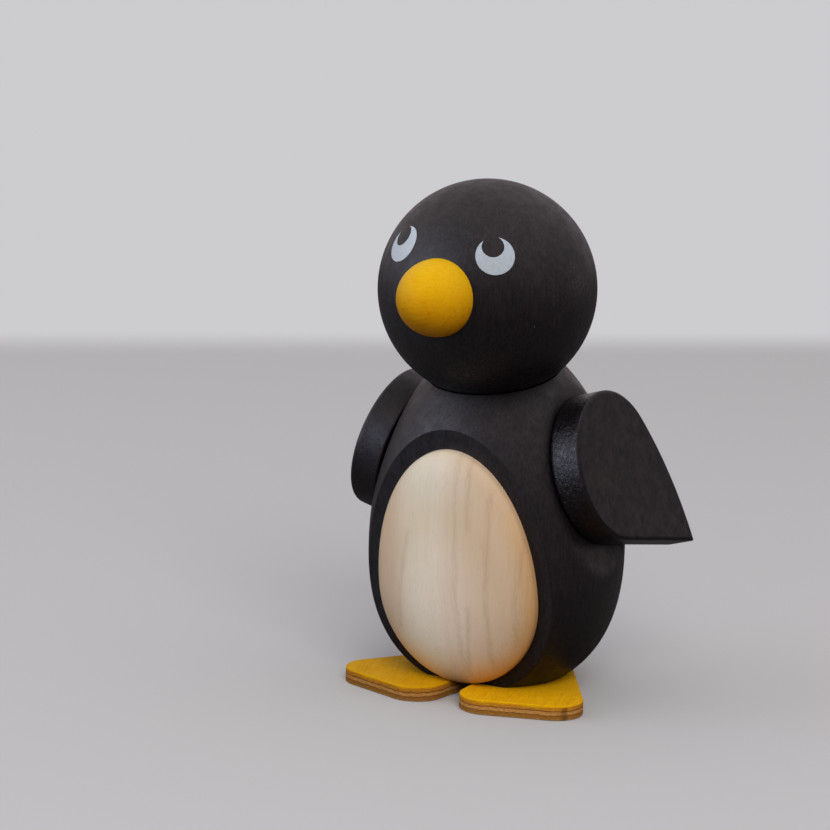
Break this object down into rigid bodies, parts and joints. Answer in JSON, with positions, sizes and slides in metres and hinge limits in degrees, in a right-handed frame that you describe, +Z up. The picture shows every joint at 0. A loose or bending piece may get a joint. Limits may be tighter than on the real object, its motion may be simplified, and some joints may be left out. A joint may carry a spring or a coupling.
{
  "type": "penguin figurine",
  "caption": "Turned wooden penguin with an egg-shaped body, domed pale belly, ball head that turns, blunt beak, teardrop wings that swing and flat plywood feet.",
  "frame": {"origin": "on the surface that the soles stand on, under the middle of the bounding box", "axes": "the figure faces -Y, its own left is +X, +Z is up"},
  "size_m": [0.0754, 0.0726, 0.1194],
  "materials": {
    "black_stain": "matte black stain on fine-grained turned wood, grain and pores faintly visible",
    "natural_wood": "bare pale wood with straight upright grain and thin brown lines, satin sanded",
    "yellow_lacquer": "warm yellow lacquer over wood, soft sheen",
    "eye_print": "pale grey-white print, flat matte film",
    "dowel_wood": "plain hardwood dowel",
    "plywood": "three-ply board, warm yellow stain on the top, brown plies with dark glue lines on the edge"
  },
  "bodies": {
    "torso": {"body": "black_stain", "belly_panel": "natural_wood", "neck_dowel": "dowel_wood", "left_wing_pin": "dowel_wood", "right_wing_pin": "dowel_wood", "left_foot": "plywood", "right_foot": "plywood"},
    "head": {"head": "black_stain", "beak": "yellow_lacquer", "left_eye": "eye_print", "right_eye": "eye_print"},
    "left_wing": {"left_wing": "black_stain"},
    "right_wing": {"right_wing": "black_stain"}
  },
  "joints": [
    {"name": "head_turn", "type": "hinge", "parent": "torso", "child": "head", "pos_m": [0, -0.00184, 0.0944], "axis": [0, 0, 1], "continuous": true},
    {"name": "left_wing_swing", "type": "hinge", "parent": "torso", "child": "left_wing", "pos_m": [0.0231, 0.00801, 0.0537], "axis": [0.9578, -0.0435, 0.284], "range_deg": [-125, 85]},
    {"name": "right_wing_swing", "type": "hinge", "parent": "torso", "child": "right_wing", "pos_m": [-0.0231, 0.00801, 0.0537], "axis": [0.9578, 0.0435, -0.284], "range_deg": [-125, 85]}
  ]
}
